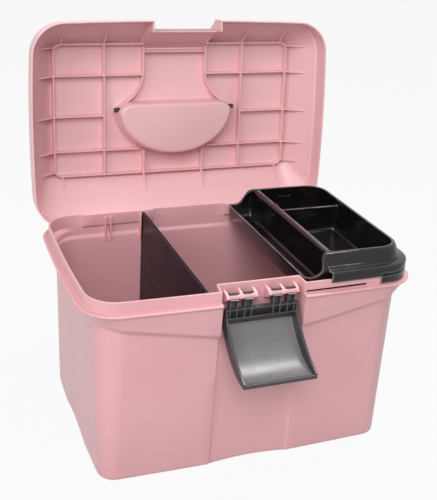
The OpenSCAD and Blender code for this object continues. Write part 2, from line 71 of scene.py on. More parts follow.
LID_KNUCKLE = 30.0
TUB_KNUCKLE = 9.5
KNUCKLE_GAP = 0.3
HINGE_X = 97.0
HINGE_Y = HALF_D + 0.4 - KNUCKLE_R
HINGE_Z = FLANGE_TOP - 5.1 - KNUCKLE_R
HINGE_STEP = 3.5
ZONE_OUT = HINGE_X + 45
ZONE_IN = HINGE_X - 47
ZONE_EDGE = 1.4
RIM_PLANE = FLANGE_TOP + 0.5
LID_OPEN = 95.0
LID_H = 64.0
LID_T = 2.2
RIB_H = 10.8
RIB_T = 1.8
CHANNEL_HALF = RECESS_HALF - 3
CLASP_Y = -(HALF_D - 11)
CLASP_Z = FLANGE_TOP + 3.5
CLASP_HALF = 43.0
CLASP_T = 2.6
BAR_R = 2.8
BAR_XS = (8.0, 24.75, 41.5)
HOOK_XS = (-34.0, -17.0, 17.0, 34.0)
HOOK_W = 10.0
HOOK_T = 2.2
DOME_Y = -13.0
DOME_HALF = 82.0
DOME_REACH = 65.0
DOME_FLAT = 66.0
HANDLE_Y = -12.0
HANDLE_UP = 48.0
DIVIDER_X = -64.0
DIVIDER_T = 4.0
FIT = 0.05
THIN = 0.01
FRONT = -HALF_D

# Turns the closed lid, rim plane at zero, to its open place
OPENED = (
    Matrix.Translation((0, HINGE_Y, HINGE_Z))
    @ Matrix.Rotation(math.radians(-LID_OPEN), 4, "X")
    @ Matrix.Translation((0, -HINGE_Y, RIM_PLANE - HINGE_Z))
)


def mix(a, b, t):
    return a + (b - a) * t


def clamp(v, low=0.0, high=1.0):
    return max(low, min(high, v))


def ease(t):
    t = clamp(t)
    return t * t * (3 - 2 * t)


def spread(a, b, count):
    """Evenly spaced values between a and b, both ends left out."""
    return [mix(a, b, (i + 1) / (count + 1)) for i in range(count)]


def arc(cx, cy, r, start, steps):
    """Quarter turn, counter-clockwise."""
    turns = [math.radians(start + 90 * i / steps) for i in range(steps + 1)]
    return [(cx + r * math.cos(a), cy + r * math.sin(a)) for a in turns]


def bezier_point(a, b, c, t):
    return tuple(u * (1 - t) ** 2 + v * 2 * t * (1 - t) + w * t * t for u, v, w in zip(a, b, c))


def bezier(a, b, c, steps):
    """Quadratic curve from a to c, drawn toward b."""
    return [bezier_point(a, b, c, i / steps) for i in range(steps + 1)]


# Rings of the tub and the lid: insets from the rim, corner radius and height
Ring = namedtuple("Ring", "in_x in_f in_b r rec half back z arch band tongue")


def ring(in_x, in_f, z, r, rec=None, in_b=None, half=RECESS_HALF, back=0.0, arch=0.0, band=0.0, tongue=0.0):
    return Ring(in_x, in_f, in_f if in_b is None else in_b, r, in_f if rec is None else rec,
                half, back, z, arch, band, tongue)


def arch_at(x, y):
    if abs(y) > HALF_D - BASE_IN_Y - 20:
        return ARCH_H * max(0.0, 1 - (x / RECESS_HALF) ** 2)
    return ARCH_H * SIDE_ARCH * max(0.0, 1 - (3 * y / HALF_D) ** 2)


def band_at(x):
    return mix(BAND_LOW, BAND_HIGH, clamp((abs(x) - RECESS_HALF) / (BAND_END - RECESS_HALF)))


# Largest share of a side that a rounded corner takes
CORNER_SHARE = 0.48
# Points round a quarter turn, and places of the points across a step in a wall
CORNER_STEPS = 14
STEP_STATIONS = (0.0, 0.1, 0.25, 0.5, 0.75, 0.9, 1.0)


def outline(v):
    """Plan points of a ring, counter-clockwise from the front left corner."""
    hx = HALF_W - BOW_X - v.in_x
    hf = HALF_D - BOW_Y - v.in_f
    hb = HALF_D - BOW_Y - v.in_b
    xe = hx - v.r
    edge = v.half + RECESS_BEVEL
    left_step = [-edge + RECESS_BEVEL * t for t in STEP_STATIONS]
    front_left = spread(-xe, -edge, 9) + left_step
    front_x = front_left + spread(-v.half, v.half, 9) + [-x for x in reversed(front_left)]
    zone_out = min(ZONE_OUT, xe - 6)
    outer_step = [zone_out + ZONE_EDGE * (1 - t) for t in STEP_STATIONS]
    inner_step = [ZONE_IN - ZONE_EDGE * t for t in STEP_STATIONS]
    back_right = outer_step + spread(zone_out, ZONE_IN, 5) + inner_step
    back_middle = spread(ZONE_IN - ZONE_EDGE, ZONE_EDGE - ZONE_IN, 5)
    back_x = back_right + back_middle + [-x for x in reversed(back_right)]

    def front_y(x):
        outer = hf + BOW_Y * (1 - (x / xe) ** 2)
        deep = HALF_D - v.rec - BOW_Y * (x / xe) ** 2
        return -mix(outer, deep, ease((edge - abs(x)) / RECESS_BEVEL))

    def back_y(x):
        inside = min(abs(x) - ZONE_IN + ZONE_EDGE, zone_out + ZONE_EDGE - abs(x)) / ZONE_EDGE
        return hb + BOW_Y * (1 - (x / xe) ** 2) - v.back * ease(inside)

    sides = spread(-1, 1, 7)
    points = arc(-xe, v.r - hf, v.r, 180, CORNER_STEPS)
    points += [(x, front_y(x)) for x in front_x]
    points += arc(xe, v.r - hf, v.r, 270, CORNER_STEPS)
    points += [(hx + BOW_X * (1 - s * s), mix(v.r - hf, hb - v.r, (s + 1) / 2)) for s in sides]
    points += arc(xe, hb - v.r, v.r, 0, CORNER_STEPS)
    points += [(x, back_y(x)) for x in back_x]
    points += arc(-xe, hb - v.r, v.r, 90, CORNER_STEPS)
    points += [(-hx - BOW_X * (1 - s * s), mix(hb - v.r, v.r - hf, (s + 1) / 2)) for s in sides]
    return points


def lifted(v):
    """Outline points of a ring with their heights."""
    points = []
    for x, y in outline(v):
        z = v.z + v.arch * arch_at(x, y) + v.band * band_at(x)
        if y < 0:
            z += v.tongue * ease((v.half + RECESS_BEVEL - abs(x)) / RECESS_BEVEL)
        points.append((x, y, z))
    return points


def round_path(items, steps=3):
    """Rounds the corners of a path of rings: items are (ring, distance kept off the corner)."""
    def reach(a, b):
        return math.hypot(a.in_f - b.in_f, a.z + BAND_NOMINAL * a.band - b.z - BAND_NOMINAL * b.band)

    def between(a, b, t):
        return Ring(*(mix(p, q, t) for p, q in zip(a, b)))

    path = [items[0][0]]
    for (a, _), (b, radius), (c, _) in zip(items, items[1:], items[2:]):
        if radius == 0:
            path.append(b)
            continue
        start = between(b, a, min(CORNER_SHARE, radius / max(reach(a, b), 1e-6)))
        end = between(b, c, min(CORNER_SHARE, radius / max(reach(b, c), 1e-6)))
        path += [Ring(*p) for p in bezier(start, b, end, steps)]
    path.append(items[-1][0])
    return path


def round_corners(points, radius, steps=4, closed=True):
    """Rounds the corners of a plane polygon."""
    out = []
    count = len(points)
    for i, p in enumerate(points):
        if not closed and i in (0, count - 1):
            out.append(tuple(p))
            continue
        a, c = points[i - 1], points[(i + 1) % count]
        la = math.dist(a, p)
        lc = math.dist(c, p)
        start = tuple(mix(u, v, min(CORNER_SHARE, radius / la)) for u, v in zip(p, a))
        end = tuple(mix(u, v, min(CORNER_SHARE, radius / lc)) for u, v in zip(p, c))
        out += bezier(start, p, end, steps)
    return out


def loft(rings, cap_first=True, cap_last=True):
    """Closed surface through rings of equal length."""
    n = len(rings[0])
    faces = []
    for k in range(len(rings) - 1):
        for i in range(n):
            j = (i + 1) % n
            faces.append((k * n + i, k * n + j, (k + 1) * n + j, (k + 1) * n + i))
    if cap_first:
        faces.append(tuple(reversed(range(n))))
    if cap_last:
        faces.append(tuple((len(rings) - 1) * n + i for i in range(n)))
    return [p for r in rings for p in r], faces


def prism_x(x0, x1, profile):
    return loft([[(x, y, z) for y, z in profile] for x in (x0, x1)])


def prism_y(y0, y1, profile):
    return loft([[(x, y, z) for x, z in profile] for y in (y0, y1)])


def prism_z(z0, z1, plan):
    return loft([[(x, y, z) for x, y in plan] for z in (z0, z1)])


def box(a, b):
    return prism_z(a[2], b[2], [(a[0], a[1]), (b[0], a[1]), (b[0], b[1]), (a[0], b[1])])


def rod(x0, x1, y, z, r, steps=40, chamfer=0.5):
    """Round bar along X with softened ends."""
    turns = [2 * math.pi * i / steps for i in range(steps)]
    stations = ((x0, r - chamfer), (x0 + chamfer, r), (x1 - chamfer, r), (x1, r - chamfer))
    return loft([[(x, y + q * math.cos(a), z + q * math.sin(a)) for a in turns] for x, q in stations])


# Meshes and pieces
def mesh_from(name, parts, matrix=None):
    """Mesh in metres from a list of (points, faces) in millimetres."""
    bm = bmesh.new()
    for points, faces in parts:
        made = [bm.verts.new(p) for p in points]
        for face in faces:
            bm.faces.new([made[i] for i in face])
    bmesh.ops.remove_doubles(bm, verts=bm.verts, dist=0.001)
    bmesh.ops.recalc_face_normals(bm, faces=bm.faces)
    bm.transform(Matrix.Scale(MM, 4) @ (matrix or Matrix.Identity(4)))
    mesh = bpy.data.meshes.new(name)
    bm.to_mesh(mesh)
    bm.free()
    return mesh


def soften(mesh, angle):
    """Smooth shading, with edges kept sharp above an angle in degrees."""
    bm = bmesh.new()
    bm.from_mesh(mesh)
    limit = math.radians(angle)
    for face in bm.faces:
        face.smooth = True
    for edge in bm.edges:
        edge.smooth = edge.is_manifold and edge.calc_face_angle(0.0) < limit
    bm.to_mesh(mesh)
    bm.free()


def add_object(name, mesh):
    obj = bpy.data.objects.new(name, mesh)
    bpy.context.scene.collection.objects.link(obj)
    return obj


def carve(obj, cutter, operation):
    """Joins or cuts an object with the closed mesh cutter, and keeps the result."""
    tool = add_object("tool", cutter)
    modifier = obj.modifiers.new("carve", "BOOLEAN")
    modifier.operation = operation
    modifier.solver = "EXACT"
    modifier.object = tool
    done = bpy.data.meshes.new_from_object(obj.evaluated_get(bpy.context.evaluated_depsgraph_get()))
    obj.modifiers.clear()
    obj.data = done
    bpy.data.objects.remove(tool)


def settle(obj, body, slot, bevel=0.0, angle=38.0, replaces=None):
    """Finishes a piece: shading, softened edges, material and the body it rides on."""
    soften(obj.data, angle)
    if bevel:
        modifier = obj.modifiers.new("soft edges", "BEVEL")
        modifier.width = bevel * MM
        modifier.segments = 2
        modifier.limit_method = "ANGLE"
        modifier.angle_limit = math.radians(angle)
        modifier.harden_normals = True
    obj.data.materials.clear()
    obj.data.materials.append(MATERIALS[FINISHES.get(obj.name, slot)])
    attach(obj, body)
    if replaces:
        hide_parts(replaces)
    return obj


def add_piece(name, parts, body, slot, bevel=0.0, angle=38.0, replaces=None, matrix=None):
    obj = add_object(name, mesh_from(name, parts, matrix))
    return settle(obj, body, slot, bevel, angle, replaces)


# Materials
def srgb(r, g, b):
    def linear(c):
        c /= 255
        return c / 12.92 if c <= 0.04045 else ((c + 0.055) / 1.055) ** 2.4
    return linear(r), linear(g), linear(b), 1.0


def map_range(tree, value, low, high, to_low=0.0, to_high=1.0):
    node = tree.nodes.new("ShaderNodeMapRange")
    node.inputs["From Min"].default_value = low
    node.inputs["From Max"].default_value = high
    node.inputs["To Min"].default_value = to_low
    node.inputs["To Max"].default_value = to_high
    tree.links.new(value, node.inputs["Value"])
    return node.outputs["Result"]


def multiply(tree, a, b):
    node = tree.nodes.new("ShaderNodeMath")
    node.operation = "MULTIPLY"
    tree.links.new(a, node.inputs[0])
    tree.links.new(b, node.inputs[1])
    return node.outputs["Value"]


def noise(tree, vector, scale, detail=2.0):
    node = tree.nodes.new("ShaderNodeTexNoise")
    node.inputs["Scale"].default_value = scale
    node.inputs["Detail"].default_value = detail
    tree.links.new(vector, node.inputs["Vector"])
    return node.outputs["Fac"]


def stretched(tree, vector, scale):
    node = tree.nodes.new("ShaderNodeMapping")
    node.inputs["Scale"].default_value = scale
    tree.links.new(vector, node.inputs["Vector"])
    return node.outputs["Vector"]


def bumped(tree, height, depth):
    """Bump node for a height of the given depth in millimetres."""
    node = tree.nodes.new("ShaderNodeBump")
    node.inputs["Strength"].default_value = 1.0
    node.inputs["Distance"].default_value = depth * MM
    tree.links.new(height, node.inputs["Height"])
    return node


# Paler edges, a painted highlight and partly rubbed wear: usual width in millimetres, and the cosines of the
# turn where the paler colour begins and is full
EDGE_WIDTH = 1.3
EDGE_LIGHT_WEAR_TURN = (0.985, 0.8)
# Span of the patchy noise, and the shares of the paler edge colour (painted highlight and wear) that it lets
# through
EDGE_LIGHT_WEAR_PATCHES = (0.3, 0.62, 0.25, 0.9)


def edge_highlight_and_wear(tree, patches, width):
    """Mask of the paler edges, a painted highlight and partly rubbed wear: where a rounded normal turns away
    from the surface, in patches.
    """
    bevel = tree.nodes.new("ShaderNodeBevel")
    bevel.samples = 6
    bevel.inputs["Radius"].default_value = width * MM
    surface = tree.nodes.new("ShaderNodeNewGeometry")
    turn = tree.nodes.new("ShaderNodeVectorMath")
    turn.operation = "DOT_PRODUCT"
    tree.links.new(bevel.outputs["Normal"], turn.inputs[0])
    tree.links.new(surface.outputs["Normal"], turn.inputs[1])
    edge = map_range(tree, turn.outputs["Value"], *EDGE_LIGHT_WEAR_TURN)
    return multiply(tree, edge, map_range(tree, patches, *EDGE_LIGHT_WEAR_PATCHES))


# Lines on the clasp's plate: heights in metres where they fade in and out, and their stretch
DRAG_LOW = (0.158, 0.164)
DRAG_HIGH = (0.186, 0.18)
DRAG_STRETCH = (14.0, 260.0, 260.0)


def drag_lines(tree, place):
    """Height of the fine lines that the mould drew across the top of the clasp's plate."""
    parts = tree.nodes.new("ShaderNodeSeparateXYZ")
    tree.links.new(place, parts.inputs["Vector"])
    above = map_range(tree, parts.outputs["Z"], *DRAG_LOW)
    below = map_range(tree, parts.outputs["Z"], *DRAG_HIGH)
    lines = noise(tree, stretched(tree, place, DRAG_STRETCH), 1.0, 3.0)
    return multiply(tree, multiply(tree, above, below), lines)


# Noise of the plastics: scale and detail of the cloudiness and of the patches, and the span that is used
CLOUD = (9.0, 4.0)
PATCHES = (42.0, 5.0)
NOISE_SPAN = (0.3, 0.7)


def plastic(name, light, dark, wear_and_highlight, rough, grain, shine=0.5, lines=0.0, edge=EDGE_WIDTH):
    """Moulded plastic: slight cloudiness, fine grain, uneven gloss, and paler edges that are a painted
    highlight and partly rubbed wear.

    rough is the lowest and highest roughness; grain is its size and depth in millimetres.
    """
    material = bpy.data.materials.new(name)
    material.use_nodes = True
    tree = material.node_tree
    shader = tree.nodes["Principled BSDF"]
    place = tree.nodes.new("ShaderNodeTexCoord").outputs["Object"]

    blend = tree.nodes.new("ShaderNodeValToRGB")
    for element, position, colour in zip(blend.color_ramp.elements, NOISE_SPAN, (dark, light)):
        element.position = position
        element.color = colour
    tree.links.new(noise(tree, place, *CLOUD), blend.inputs["Fac"])

    patches = noise(tree, place, *PATCHES)
    tree.links.new(map_range(tree, patches, *NOISE_SPAN, *rough), shader.inputs["Roughness"])

    # paler colour on the edges: a painted highlight along them, partly rubbed wear
    rubbed_and_lit = tree.nodes.new("ShaderNodeMix")
    rubbed_and_lit.data_type = "RGBA"
    rubbed_and_lit.inputs["B"].default_value = wear_and_highlight
    tree.links.new(edge_highlight_and_wear(tree, patches, edge), rubbed_and_lit.inputs["Factor"])
    tree.links.new(blend.outputs["Color"], rubbed_and_lit.inputs["A"])
    tree.links.new(rubbed_and_lit.outputs["Result"], shader.inputs["Base Color"])

    grain_size, grain_depth = grain
    bump = bumped(tree, noise(tree, place, 1000.0 / grain_size), grain_depth)
    tree.links.new(bump.outputs["Normal"], shader.inputs["Normal"])
    if lines:
        drawn = bumped(tree, drag_lines(tree, place), lines)
        tree.links.new(drawn.outputs["Normal"], bump.inputs["Normal"])

    shader.inputs["Specular IOR Level"].default_value = shine
    return material


STREAK_STRETCH = (60.0, 1500.0, 1500.0)
STEEL_ROUGH = (0.22, 0.45)


def metal(name, colour):
    """Drawn steel with fine streaks along the pin."""
    material = bpy.data.materials.new(name)
    material.use_nodes = True
    tree = material.node_tree
    shader = tree.nodes["Principled BSDF"]
    shader.inputs["Base Color"].default_value = colour
    shader.inputs["Metallic"].default_value = 1.0
    place = tree.nodes.new("ShaderNodeTexCoord").outputs["Object"]
    streaks = noise(tree, stretched(tree, place, STREAK_STRETCH), 1.0)
    tree.links.new(map_range(tree, streaks, 0.0, 1.0, *STEEL_ROUGH), shader.inputs["Roughness"])
    return material


MATERIALS = {
    # the third colour of each plastic is its paler edge: a painted highlight, partly rubbed wear
    "pink_plastic": plastic(
        "pink satin plastic", srgb(223, 169, 174), srgb(218, 163, 168), srgb(238, 202, 206),
        rough=(0.31, 0.38), grain=(0.9, 0.02),
    ),
    # paler copy of the pink for the lid's pieces: a painted sheen, since the lid is the tub's plastic
    "pink_lid_painted_sheen": plastic(
        "paler pink plastic", srgb(233, 187, 191), srgb(229, 181, 185), srgb(242, 212, 215),
        rough=(0.31, 0.38), grain=(0.9, 0.02),
    ),
    # its broad paler edges are painted highlight lines along the tray's rims
    "black_gloss": plastic(
        "black gloss plastic", srgb(22, 18, 20), srgb(17, 14, 16), srgb(158, 152, 155),
        rough=(0.13, 0.21), grain=(1.2, 0.01), shine=0.42, edge=2.6,
    ),
    "black_matte": plastic(
        "black grained plastic", srgb(58, 56, 58), srgb(48, 46, 48), srgb(132, 128, 130),
        rough=(0.26, 0.38), grain=(0.7, 0.03),
    ),
    # paler copy of the black grained plastic for the clasp's plate: a painted sheen
    "clasp_plate_painted_sheen": plastic(
        "clasp plastic with painted sheen", srgb(120, 117, 119), srgb(106, 103, 105), srgb(150, 146, 148),
        rough=(0.22, 0.32), grain=(0.7, 0.04), lines=0.4,
    ),
    "plum_black": plastic(
        "plum black plastic", srgb(24, 14, 25), srgb(18, 10, 20), srgb(104, 88, 102),
        rough=(0.26, 0.38), grain=(1.0, 0.02), shine=0.14,
    ),
    "steel": metal("steel", srgb(196, 197, 200)),
}

# Pieces whose finish is not their slot's plain one: the lid's paler pink and the clasp plate's paler grey
# are a painted sheen
FINISHES = {
    "lid_body": "pink_lid_painted_sheen",
    "lid_ribs": "pink_lid_painted_sheen",
    "lid_gussets": "pink_lid_painted_sheen",
    "lid_bar": "pink_lid_painted_sheen",
    "lid_knuckles": "pink_lid_painted_sheen",
    # the plate's paler grey is a painted sheen
    "clasp_plate": "clasp_plate_painted_sheen",
}


# Tub
def tub_profile():
    """Rings from the foot up the outside, over the lip and down the inside, with their rounding."""
    half_in = RECESS_HALF + WALL
    rec_in = RECESS_IN + WALL

    def inner(in_x, in_f, z, r, rec=rec_in, back=0.0, tongue=0.0):
        return ring(in_x, in_f, z, r, rec, half=half_in, back=back, tongue=tongue)

    outside = [
        (ring(BASE_IN_X + 16, BASE_IN_Y + 16, 0.0, BASE_R - 8), 0),
        (ring(BASE_IN_X + 3.5, BASE_IN_Y + 3.5, THIN, BASE_R - 3, BASE_IN_Y + 4.5, arch=1.0), 2.5),
        (ring(BASE_IN_X, BASE_IN_Y, 3.5, BASE_R, BASE_IN_Y + 1, arch=1.0), 3),
        (ring(BASE_IN_X - 4.5, BASE_IN_Y - 1.2, WAIST_Z, BASE_R + 9, BASE_IN_Y + 4.3), 40),
        (ring(15.9, 9.6, 0.0, RIM_R - 8, RECESS_IN, band=1.0), 1.6),
        (ring(15.7, 3.0, 6.5, RIM_R - 6, RECESS_IN, band=1.0), 2.0),
        (ring(5.5, 2.4, FLANGE_LOW, RIM_R - 5, RECESS_IN), 0.6),
        (ring(0.0, 0.0, FLANGE_LOW + THIN, RIM_R, RECESS_IN, in_b=1.2), 1.1),
        (ring(0.0, 0.0, FLANGE_TOP, RIM_R, RECESS_IN, in_b=1.2), 1.1),
        (ring(7.0, 7.0, FLANGE_TOP + THIN, RIM_R - 7, RECESS_IN, back=HINGE_STEP), 1.0),
        (ring(7.0, 7.0, LIP_TOP, RIM_R - 7, RECESS_IN, back=HINGE_STEP, tongue=TONGUE_RISE), 1.0),
    ]
    inside = [
        (inner(9.2, 9.2, LIP_TOP + THIN, RIM_R - 9.2, back=HINGE_STEP, tongue=TONGUE_RISE), 1.0),
        (inner(9.5, 9.5, LIP_TOP - 15.5, RIM_R - 9.5, back=HINGE_STEP), 0.8),
        (inner(9.6, 9.6, LIP_TOP - 17, RIM_R - 9.6), 1.2),
        (inner(18.0, 9.7, LIP_TOP - 21, RIM_R - 11.5), 2.0),
        (inner(18.1, 9.8, LEDGE_Z - 2, RIM_R - 11.8), 1.4),
        (inner(18.2, 12.6, LEDGE_Z - 5, RIM_R - 12), 2.4),
        (inner(BASE_IN_X - 2, BASE_IN_Y + 1.3, WAIST_Z, BASE_R + 7, BASE_IN_Y + 6.8), 40),
        (inner(BASE_IN_X + WALL, BASE_IN_Y + WALL, FLOOR_Z + 4, BASE_R - 2, BASE_IN_Y + 3.7), 3),
        (inner(BASE_IN_X + WALL + 4, BASE_IN_Y + WALL + 4, FLOOR_Z, BASE_R - 5, BASE_IN_Y + 6.9), 3),
        (ring(BASE_IN_X + 16, BASE_IN_Y + 16, FLOOR_Z - THIN, BASE_R - 8), 0),
    ]
    return round_path(outside + inside)


def tub_body():
    """Shell with the pockets of the hinge and the slot in the lip beside the clasp."""
    body = add_object("tub_body", mesh_from("tub_body", [loft([lifted(v) for v in tub_profile()])]))
    reach = LID_KNUCKLE / 2 + KNUCKLE_GAP + TUB_KNUCKLE + 1
    pockets = [
        box((side * HINGE_X - reach, HINGE_Y - KNUCKLE_R - 0.6, HINGE_Z - KNUCKLE_R - 5.8),
            (side * HINGE_X + reach, HALF_D + 5, FLANGE_TOP + 1))
        for side in (-1, 1)
    ]
    slot_end = 128
    slot = box((RECESS_HALF + 4, FRONT - 1, FLANGE_TOP + 0.5), (slot_end, FRONT + 12, FLANGE_TOP + 3.7))
    carve(body, mesh_from("cuts", pockets + [slot]), "DIFFERENCE")
    return settle(body, "tub", "pink_plastic", replaces="tub")


def clasp_mounts():
    """Bracket ribs and bars that carry the clasp."""
    root = -(HALF_D - RECESS_IN - 1)
    half_t = 1.5
    profile = [
        (root, CLASP_Z - 11),
        (root, CLASP_Z + 5.5),
        (CLASP_Y + 1, CLASP_Z + 3.8),
        (CLASP_Y - 3.6, CLASP_Z),
        (CLASP_Y, CLASP_Z - 4),
    ]
    parts = []
    for side in (-1, 1):
        for x in BAR_XS:
            parts.append(prism_x(side * x - half_t, side * x + half_t, profile))
        low, high = sorted((side * BAR_XS[0], side * BAR_XS[-1]))
        parts.append(rod(low, high, CLASP_Y, CLASP_Z, BAR_R))
    return add_piece("tub_clasp_mounts", parts, "tub", "pink_plastic", bevel=0.4)


def divider_guides():
    """Pairs of ribs on the front and back walls, for the divider and for a second place at its left."""
    wall_in = HALF_D - 12.7
    near, far = 2.4, 4.4
    low, high = LIP_TOP - 38, LIP_TOP - 4
    parts = []
    for x in (DIVIDER_X, DIVIDER_X - 46):
        for wall in (-1, 1):
            for side in (-1, 1):
                x0, x1 = sorted((x + side * near, x + side * far))
                y0, y1 = sorted((wall * (wall_in - 4), wall * (wall_in + 2.6)))
                parts.append(box((x0, y0, low), (x1, y1, high)))
    return add_piece("tub_divider_guides", parts, "tub", "pink_plastic", bevel=0.6)


def tub_knuckles():
    """Tub's halves of the hinge, at both ends of each of the lid's knuckles."""
    parts = []
    near = LID_KNUCKLE / 2 + KNUCKLE_GAP
    far = near + TUB_KNUCKLE
    for side in (-1, 1):
        for x0, x1 in ((-far, -near), (near, far)):
            x0 += side * HINGE_X
            x1 += side * HINGE_X
            parts.append(rod(x0, x1, HINGE_Y, HINGE_Z, KNUCKLE_R))
            parts.append(box((x0, HALF_D - 10.5, HINGE_Z - KNUCKLE_R), (x1, HINGE_Y, HINGE_Z + KNUCKLE_R)))
    return add_piece("tub_knuckles", parts, "tub", "pink_plastic", bevel=0.3)


# Lid, built closed with its rim plane at zero
LEAN_MOST = 20.0
LEAN_LOW = 24.5
LEAN_HIGH = LID_H - 12


def lid_back(h):
    """How far the back wall leans in at a height."""
    return LEAN_MOST * clamp((h - LEAN_LOW) / (LEAN_HIGH - LEAN_LOW)) ** 2


def lid_ring(inset, h, back_h):
    return ring(inset, inset, h, max(RIM_R - inset, 12), in_b=inset + lid_back(back_h))


def dome_plan(flat_in, inset, steps=36):
    """Plan of the handle recess: a flat front side and a half ellipse."""
    half = DOME_FLAT - flat_in * 0.5
    wide = DOME_HALF - inset
    near = DOME_Y - 8 + flat_in
    line = [
        (-wide, DOME_Y + 12), (-wide, DOME_Y), (-half, near),
        (half, near), (wide, DOME_Y), (wide, DOME_Y + 12),
    ]
    front = round_corners(line, 7, 5, closed=False)[1:-1]
    back = []
    for i in range(1, steps):
        a = math.pi * i / steps
        back.append((wide * math.cos(a), DOME_Y + (DOME_REACH - inset) * math.sin(a)))
    return front + back


def dome_rings(rows):
    return [[(x, y, h) for x, y in dome_plan(flat_in, inset)] for flat_in, inset, h in rows]


def lid_profile():
    """Rings from the top's inside down to the rim and up the outside."""
    top = LID_H
    return round_path([
        (lid_ring(38.0, top - LID_T, top), 0),
        (lid_ring(35.0, top - LID_T - 0.8, top), 1.5),
        (lid_ring(31.6, top - 5.7, top), 2),
        (lid_ring(25.8, top - 12.2, top - 11), 4),
        (lid_ring(16.4, 38.0, 39.5), 6),
        (lid_ring(7.0, 24.6, 25.0), 1),
        (lid_ring(6.4, 23.0, 24.0), 0.4),
        (lid_ring(LID_T + 0.8, 22.6, 23.0), 0.8),
        (lid_ring(LID_T + 0.2, 0.0, 0.0), 0.8),
        (lid_ring(0.2, 0.02, 0.0), 0.8),
        (lid_ring(0.8, 23.0, 23.0), 0.8),
        (lid_ring(4.2, 24.2, 24.5), 1),
        (lid_ring(14.1, 39.4, 39.5), 6),
        (lid_ring(23.5, top - 11, top - 11), 4),
        (lid_ring(29.5, top - 4, top), 2),
        (lid_ring(33.0, top - 1, top), 1.5),
        (lid_ring(36.5, top, top), 0),
    ])


def lid_shell():
    """Mesh of the sloped shell with the handle's recess let into its top."""
    top = LID_H
    # the recess as a bulge on the inside, and as a hollow on the outside
    bulge = dome_rings([
        (-1.2, -1.2, top - LID_T), (-0.4, -0.2, top - LID_T - 0.4), (0.0, 0.3, top - LID_T - 1.4),
        (0.0, 4.2, 40.8), (0.4, 4.8, 38.6), (1.6, 6.0, 36.9), (3.2, 7.6, 36.0), (5.2, 9.6, 35.8),
    ])
    hollow = dome_rings([
        (0.9, 0.9, top), (1.7, 1.7, top - 0.3), (2.2, 2.3, top - 1.0),
        (2.2, 6.4, 42.0), (2.8, 7.2, 39.6), (4.2, 8.6, 38.3), (6.0, 10.4, 38.0),
    ])
    bm = bmesh.new()

    def add_rings(rings, cap):
        points, faces = loft(rings, cap_first=False, cap_last=cap)
        made = [bm.verts.new(p) for p in points]
        for face in faces:
            bm.faces.new([made[i] for i in face])
        n = len(rings[0])
        return made[:n], made[-n:]

    def loop_edges(verts):
        return [bm.edges.get((a, b)) for a, b in zip(verts, verts[1:] + verts[:1])]

    inner, outer = add_rings([lifted(v) for v in lid_profile()], cap=False)
    bulge_edge, _ = add_rings(bulge, cap=True)
    hollow_edge, _ = add_rings(hollow, cap=True)
    bmesh.ops.triangle_fill(bm, edges=loop_edges(inner) + loop_edges(bulge_edge), use_beauty=True)
    bmesh.ops.triangle_fill(bm, edges=loop_edges(outer) + loop_edges(hollow_edge), use_beauty=True)
    bmesh.ops.recalc_face_normals(bm, faces=bm.faces)
    bm.transform(Matrix.Scale(MM, 4) @ OPENED)
    mesh = bpy.data.meshes.new("lid_body")
    bm.to_mesh(mesh)
    bm.free()
    return mesh


def lid_body():
    """Shell with the sloped channel for the clasp through its front wall."""
    top = LID_H
    body = add_object("lid_body", lid_shell())
    channel_out = round_corners([
        (FRONT + 12.4, 15), (FRONT + 12.4, 20), (FRONT + 32.5, top - 13),
        (FRONT + 36, top - 7), (FRONT + 41, top - 2.5), (FRONT + 48, top + 0.5),
    ], 4, closed=False)
    channel_in = round_corners([
        (FRONT + 14.6, 15), (FRONT + 14.6, 20.8), (FRONT + 34.5, top - 12),
        (FRONT + 37.7, top - 6.4), (FRONT + 42, top - LID_T + THIN),
    ], 4, closed=False)
    solid = prism_x(-CHANNEL_HALF - LID_T, CHANNEL_HALF + LID_T, channel_in + [
        (FRONT + 42, top - 0.4), (FRONT + 34, top - 1.8), (FRONT + 24.4, top - 11.6),
        (FRONT + 5, 24.4), (FRONT + 2.6, 22.6), (FRONT + 1, 0.3), (FRONT + 14.6, 0.3),
    ])
    space = prism_x(-CHANNEL_HALF, CHANNEL_HALF, channel_out + [
        (FRONT + 48, top + 9), (FRONT - 9, top + 9), (FRONT - 9, -2), (FRONT + 16, -2), (FRONT + 16, 15),
    ])
    carve(body, mesh_from("solid", [solid], OPENED), "UNION")
    carve(body, mesh_from("space", [space], OPENED), "DIFFERENCE")
    return settle(body, "lid", "pink_plastic", replaces="lid")


def rib_plan(a, b):
    """Plan rectangle of a straight rib between two points."""
    dx, dy = b[0] - a[0], b[1] - a[1]
    length = math.hypot(dx, dy)
    nx, ny = -dy / length * RIB_T / 2, dx / length * RIB_T / 2
    return [(a[0] - nx, a[1] - ny), (b[0] - nx, b[1] - ny), (b[0] + nx, b[1] + ny), (a[0] + nx, a[1] + ny)]


def strip_plan(points):
    """Plan of a rib that follows a line of points."""
    left = []
    right = []
    for i, p in enumerate(points):
        a = points[max(i - 1, 0)]
        b = points[min(i + 1, len(points) - 1)]
        dx, dy = b[0] - a[0], b[1] - a[1]
        length = math.hypot(dx, dy)
        nx, ny = -dy / length * RIB_T / 2, dx / length * RIB_T / 2
        left.append((p[0] - nx, p[1] - ny))
        right.append((p[0] + nx, p[1] + ny))
    return left, right


# Lines of the lid's rib lattice
RIB_LOW = LID_H - LID_T - RIB_H
POST_X = 96.0
SHORT_POST_X = 41.5
CROSS_YS = (-57, -4, 42)


